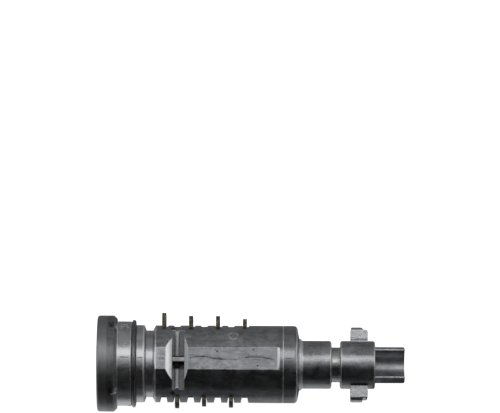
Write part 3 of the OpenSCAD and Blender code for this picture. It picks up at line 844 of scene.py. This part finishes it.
@dataclass
class Paintwork:
    """Builds each finish once and puts it on what wears it."""

    finishes: dict[Slot, Finish]
    built: dict[Slot, bpy.types.Material] = field(default_factory=dict)

    def material(self, slot: Slot) -> bpy.types.Material:
        """Finds a finish's material, which is built when it is first asked for.

        Args:
            slot: the finish.

        Returns:
            Its material.
        """
        if slot not in self.built:
            self.built[slot] = self.finishes[slot].build()
        return self.built[slot]

    def dress(self, node: str, slot: Slot) -> None:
        """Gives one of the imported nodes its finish.

        Args:
            node: the node's name.
            slot: the finish for all its material slots.
        """
        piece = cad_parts[node]
        finish = self.material(slot)
        if not piece.material_slots:
            piece.data.materials.append(finish)
        for place in piece.material_slots:
            place.material = finish
        LOG.info("%s wears %s", node, finish.name)

    def add_piece(self, name: str, points: list[Vector], faces: Faces, slot: Slot) -> bpy.types.Object:
        """Makes a mesh piece that moves with the casting.

        Args:
            name: the piece's name.
            points: its corners, in metres.
            faces: its faces.
            slot: its finish.

        Returns:
            The piece.
        """
        mesh = bpy.data.meshes.new(name)
        mesh.from_pydata([tuple(p) for p in points], [], faces)
        mesh.validate()
        mesh.shade_smooth()
        mesh.materials.append(self.material(slot))
        piece = bpy.data.objects.new(name, mesh)
        bpy.context.scene.collection.objects.link(piece)
        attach(piece, CASTING_BODY)
        LOG.info("%s: %d faces", name, len(faces))
        return piece


@dataclass(frozen=True)
class Seat:
    """The surface that a line of flash stands on: its height and whether it is round or flat."""

    top_mm: float
    is_round: bool = True


@dataclass(frozen=True)
class Ridge:
    """How wide and how high a line of flash is."""

    width_mm: float
    height_mm: float


FLAT = Seat(7.63, is_round=False)
BARREL = Seat(8.0)
COLLAR = Seat(8.742)
FAINT = Ridge(0.2, 0.05)
BOLD = Ridge(0.42, 0.14)


@dataclass(frozen=True)
class Flash:
    """One stretch of mould flash, as a line of places along the lock and across it."""

    line_mm: tuple[tuple[float, float], ...]
    seat: Seat
    ridge: Ridge = FAINT
    step_mm: float = 0.12
    least_steps: int = 8
    sunk_mm: float = 0.02
    sway_mm: float = 0.02
    uneven_width: Stretch = (0.8, 1.2)
    uneven_height: Stretch = (0.7, 1.1)
    fading_share: float = 1 / 6
    end_width: float = 0.25
    end_height: float = 0.1
    crest_width: float = 0.35
    crest_slant: float = 0.9

    def across(self, x: float) -> float:
        """Follows the line, which eases from each of its places to the next.

        Args:
            x: a place along the lock, in millimetres.

        Returns:
            How far across the lock the line lies there, in millimetres.
        """
        for (x0, y0), (x1, y1) in zip(self.line_mm, self.line_mm[1:]):
            if x <= x1:
                share = max(0.0, (x - x0) / (x1 - x0))
                return y0 + (y1 - y0) * share * share * (3 - 2 * share)
        return self.line_mm[-1][1]

    def solid(self, draw: random.Random) -> tuple[list[Vector], Faces]:
        """Draws out the thin ridge, which is uneven and fades at its ends.

        Args:
            draw: the source of its unevenness.

        Returns:
            Its corners, in metres, and its faces.
        """
        start, end = self.line_mm[0][0], self.line_mm[-1][0]
        count = max(self.least_steps, round((end - start) / self.step_mm))
        points: list[Vector] = []
        faces: Faces = []
        for i in range(count + 1):
            x = start + (end - start) * i / count
            y = self.across(x) + draw.uniform(-self.sway_mm, self.sway_mm)
            full = min(1.0, min(i, count - i) / count / self.fading_share)
            narrow = self.end_width + (1 - self.end_width) * full
            half = self.ridge.width_mm / 2 * narrow * draw.uniform(*self.uneven_width)
            low = self.end_height + (1 - self.end_height) * full
            high = self.ridge.height_mm * low * draw.uniform(*self.uneven_height)
            fall = (abs(y) + half) ** 2 / (2 * self.seat.top_mm) if self.seat.is_round else 0.0
            foot = -self.sunk_mm - fall
            crest = half * self.crest_width
            for side, up in ((-half, foot), (-crest, high), (crest, high * self.crest_slant), (half, foot)):
                points.append(Vector((x, y + side, self.seat.top_mm + up)) * MM)
        ring = len(points) // (count + 1)
        for a in range(0, count * ring, ring):
            b = a + ring
            for k in range(ring):
                faces.append((a + k, b + k, b + (k + 1) % ring, a + (k + 1) % ring))
        faces.append(tuple(range(ring)))
        faces.append(tuple(reversed(range(count * ring, (count + 1) * ring))))
        return points, faces


@dataclass
class Casting:
    """The one-piece zinc casting, with the thin flash that its mould left along the parting line."""

    flashes: tuple[Flash, ...] = (
        Flash(((18.95, 0.1), (20.5, 0.42), (22.3, 0.42), (24.5, 0.05), (26.9, -0.25)), FLAT, BOLD),
        Flash(((27.0, -0.25), (28.4, -0.2), (29.8, 0.1)), FLAT),
        Flash(((29.9, 0.12), (31.6, 0.42), (34.0, 0.4), (35.6, 0.05), (36.7, -0.25)), FLAT, BOLD),
        Flash(((12.4, 0.0), (14.05, 0.05)), FLAT),
        Flash(((4.7, 0.02), (6.85, -0.03)), COLLAR),
        Flash(((8.25, -0.02), (9.5, 0.02)), BARREL),
        Flash(((38.6, 0.0), (40.4, 0.03)), BARREL),
    )
    seed: int = 11

    def dress(self, paint: Paintwork) -> None:
        """Finishes the casting and lays its flash along each stretch.

        Args:
            paint: the finishes.
        """
        paint.dress("plug_body", Slot.CAST)
        draw = random.Random(self.seed)
        for number, flash in enumerate(self.flashes, 1):
            paint.add_piece(f"parting_flash_{number}", *flash.solid(draw), Slot.CAST)


@dataclass
class Head:
    """The crimped cap and the sprung shutter behind its key slot."""

    wears: tuple[tuple[str, Slot], ...] = (
        ("head_cap", Slot.CAP),
        ("shutter_frame", Slot.MOULDING),
        ("shutter_flap", Slot.SHUTTER),
        ("shutter_pin", Slot.PIN),
        ("shutter_spring", Slot.SPRING),
    )

    def dress(self, paint: Paintwork) -> None:
        """Gives each of the head's pieces its finish.

        Args:
            paint: the finishes.
        """
        for node, slot in self.wears:
            paint.dress(node, slot)


@dataclass
class Seal:
    """The rubber ring in its groove."""

    node: str = "seal_ring"

    def dress(self, paint: Paintwork) -> None:
        """Finishes the ring.

        Args:
            paint: the finishes.
        """
        paint.dress(self.node, Slot.SEAL)


@dataclass
class Wafers:
    """The row of sprung brass wafers."""

    count: int = 7

    def dress(self, paint: Paintwork) -> None:
        """Finishes the wafers and their springs.

        Args:
            paint: the finishes.
        """
        for number in range(1, self.count + 1):
            paint.dress(f"wafer_{number}", Slot.WAFER)
            paint.dress(f"wafer_spring_{number}", Slot.SPRING)


@dataclass(frozen=True)
class SoftBox:
    """A soft light: which way it stands from its target, how far off, its two sides and its radiance."""

    name: str
    direction: Vector
    distance: float
    size: tuple[float, float]
    radiance: float
    power_per_radiance: float = 4.0

    def place(self, target: Vector, along: Vector) -> None:
        """Adds the light.

        Args:
            target: the point that it faces.
            along: the direction of its first side.
        """
        data = bpy.data.lights.new(self.name, "AREA")
        data.shape = "RECTANGLE"
        data.size, data.size_y = self.size
        data.energy = self.power_per_radiance * self.size[0] * self.size[1] * self.radiance
        light = bpy.data.objects.new(self.name, data)
        bpy.context.scene.collection.objects.link(light)
        back = self.direction.normalized()
        side = (along - back * along.dot(back)).normalized()
        light.matrix_world = Matrix.Translation(target + back * self.distance) @ Matrix(
            (side, back.cross(side), back)).transposed().to_4x4()
        light.visible_camera = False


@dataclass(frozen=True)
class FloorGlow:
    """The floor as the metal sees it in reflection, painted on a glowing card: how bright it is by the place
    on it along the lock (_x) and across it (_y), with the lock's shadow painted dark under it.
    """

    at_head: float = 0.75
    at_barrel: float = 0.32
    at_shaft: float = 0.5
    at_stub: float = 0.06
    shadow_under_lock: float = 0.03
    behind_lock: float = 0.2
    far_in_front: float = 0.1
    barrel_x: Stretch = (9.0, 14.0)
    shaft_x: Stretch = (40.0, 44.0)
    stub_x: Stretch = (56.0, 58.5)
    near_y: Stretch = (-34.0, -16.0)
    shadow_y: Stretch = (-8.5, -6.5)
    behind_y: Stretch = (6.5, 9.0)

    def build(self) -> bpy.types.Material:
        """Builds the glow.

        Returns:
            Its material.
        """
        g = Graph("floor_glow")
        front = g.coats(
            g.level, self.at_head,
            Coat(g.spread(g.x, self.barrel_x), self.at_barrel),
            Coat(g.spread(g.x, self.shaft_x), self.at_shaft),
            Coat(g.spread(g.x, self.stub_x), self.at_stub),
        )
        bright = g.coats(
            g.level, self.far_in_front,
            Coat(g.spread(g.y, self.near_y), front),
            # Painted shadow: the floor under the lock shows dark in the metal's reflections.
            Coat(g.spread(g.y, self.shadow_y), self.shadow_under_lock),
            Coat(g.spread(g.y, self.behind_y), self.behind_lock),
        )
        g.set(base_color=BLACK, emission_color=WHITE, emission_strength=bright, roughness=1.0,
              specular_ior_level=0.0)
        return g.material


@dataclass
class Studio:
    """The camera, the pale floor and the soft lights."""

    tilt: float = math.radians(10.87)
    roll: float = math.radians(0.34)
    distance: float = 1.0
    view_width: float = 0.1035
    sensor_mm: float = 36.0
    clip: Stretch = (0.05, 10.0)
    axis_point: Vector = field(default_factory=lambda: Vector((31.56, 0.0, 0.0)) * MM)
    picture_rise: float = 32.67 * MM
    floor_z: float = -9.965 * MM
    floor_half: float = 2.2
    paper_grain: Cloud = Cloud(3.0, 3.0, 0.5, limits=(0.3, 0.7), ends=(0.85, 0.95))
    white: float = 0.97
    glow: FloorGlow = FloorGlow()
    glow_half: float = 1.5
    glow_drop: float = 0.05 * MM
    backdrop_radius: float = 2.1
    fill: float = 0.022
    end_rise: float = 0.4
    end_lean: float = 0.3

    def toward(self) -> Vector:
        """Returns the direction from the lock to the camera."""
        return Vector((0.0, -math.sin(self.tilt), math.cos(self.tilt)))

    def up(self) -> Vector:
        """Returns the direction that points up in the picture before the roll."""
        return Vector((0.0, math.cos(self.tilt), math.sin(self.tilt)))

    def sight(self, degrees: float) -> Vector:
        """Returns the direction at an angle from the line of sight, towards the picture's top."""
        angle = math.radians(degrees)
        return self.toward() * math.cos(angle) + self.up() * math.sin(angle)

    def end_direction(self, end: int) -> Vector:
        """Returns the direction of the light at the head's end (-1) or the tail's (1)."""
        return Vector((end, 0.0, 0.0)) + self.up() * self.end_rise + self.toward() * self.end_lean

    def camera(self) -> None:
        """Adds the camera, which looks down on the flat as the photograph does."""
        right = Vector((math.cos(self.roll), 0, 0)) + self.up() * math.sin(self.roll)
        upward = self.up() * math.cos(self.roll) - Vector((math.sin(self.roll), 0, 0))
        back = right.cross(upward)
        data = bpy.data.cameras.new("view")
        data.sensor_width = self.sensor_mm
        data.lens = self.sensor_mm * self.distance / self.view_width
        data.clip_start, data.clip_end = self.clip
        camera = bpy.data.objects.new("view", data)
        bpy.context.scene.collection.objects.link(camera)
        target = self.axis_point + upward * self.picture_rise
        camera.matrix_world = Matrix.Translation(target + back * self.distance) @ Matrix(
            (right, upward, back)).transposed().to_4x4()
        bpy.context.scene.camera = camera

    def sheet(self, name: str, half: float, z: float, material: bpy.types.Material) -> bpy.types.Object:
        """Adds a level square sheet under the lock.

        Args:
            name: the sheet's name.
            half: half its width.
            z: how high it lies.
            material: its finish.

        Returns:
            The sheet, which isn't part of the object.
        """
        mesh = bpy.data.meshes.new(name)
        corners = [(x * half, y * half, z) for x, y in ((-1, -1), (1, -1), (1, 1), (-1, 1))]
        mesh.from_pydata(corners, [], [(0, 1, 2, 3)])
        mesh.materials.append(material)
        sheet = bpy.data.objects.new(name, mesh)
        bpy.context.scene.collection.objects.link(sheet)
        return sheet

    def floor(self) -> None:
        """Adds the pale floor, and under it a glowing card that only reflections see, with the floor's
        reflection and the lock's shadow painted on it.
        """
        g = Graph("floor_paper")
        g.set(base_color=PAPER, roughness=g.patches(self.paper_grain), emission_color=WHITE,
              emission_strength=self.white, specular_ior_level=0.0)
        floor = self.sheet("floor", self.floor_half, self.floor_z, g.material)
        floor.visible_glossy = False
        card = self.sheet("floor_glow", self.glow_half, self.floor_z - self.glow_drop, self.glow.build())
        card.visible_camera = card.visible_diffuse = card.visible_shadow = False

    def backdrop(self) -> None:
        """Adds the white wall all round, which only the camera sees."""
        g = Graph("backdrop_paper")
        g.set(base_color=PAPER, emission_color=WHITE, emission_strength=1.0, roughness=1.0)
        bpy.ops.mesh.primitive_uv_sphere_add(segments=48, ring_count=24, radius=self.backdrop_radius)
        dome = bpy.context.object
        dome.name = "backdrop"
        dome.data.materials.append(g.material)
        dome.visible_glossy = dome.visible_diffuse = dome.visible_shadow = False

    def light(self) -> None:
        """Adds the soft boxes and the dim room behind them."""
        along_lock = Vector((1.0, 0.0, 0.0))
        across = (
            SoftBox("key", self.sight(33), distance=1.2, size=(1.6, 0.54), radiance=1.15),
            SoftBox("key_skirt", self.sight(12), distance=1.2, size=(1.6, 0.34), radiance=0.33),
            SoftBox("view_skirt", self.sight(-2), distance=1.2, size=(1.6, 0.27), radiance=0.1),
            SoftBox("rear_fill", self.sight(73), distance=1.2, size=(1.8, 1.26), radiance=0.23),
        )
        for box in across:
            box.place(self.axis_point, along_lock)
        ends = (
            SoftBox("head_fill", self.end_direction(-1), distance=1.1, size=(0.8, 1.05), radiance=0.95),
            SoftBox("tail_fill", self.end_direction(1), distance=1.1, size=(0.8, 1.05), radiance=0.78),
        )
        for box in ends:
            box.place(self.axis_point, self.up())
        world = bpy.data.worlds.new("dim_room")
        world.use_nodes = True
        world.node_tree.nodes["Background"].inputs[0].default_value = (*WHITE, 1.0)
        world.node_tree.nodes["Background"].inputs[1].default_value = self.fill
        bpy.context.scene.world = world
        bpy.context.scene.view_settings.view_transform = "Standard"

    def build(self) -> None:
        """Builds the whole studio."""
        self.camera()
        self.floor()
        self.backdrop()
        self.light()


def main() -> None:
    """Builds the studio, then dresses each sub-assembly."""
    logging.basicConfig(level=logging.INFO, format="%(name)s: %(message)s")
    Studio().build()
    paint = Paintwork(FINISHES)
    for assembly in (Casting(), Head(), Seal(), Wafers()):
        assembly.dress(paint)


if __name__ == "__main__":
    main()
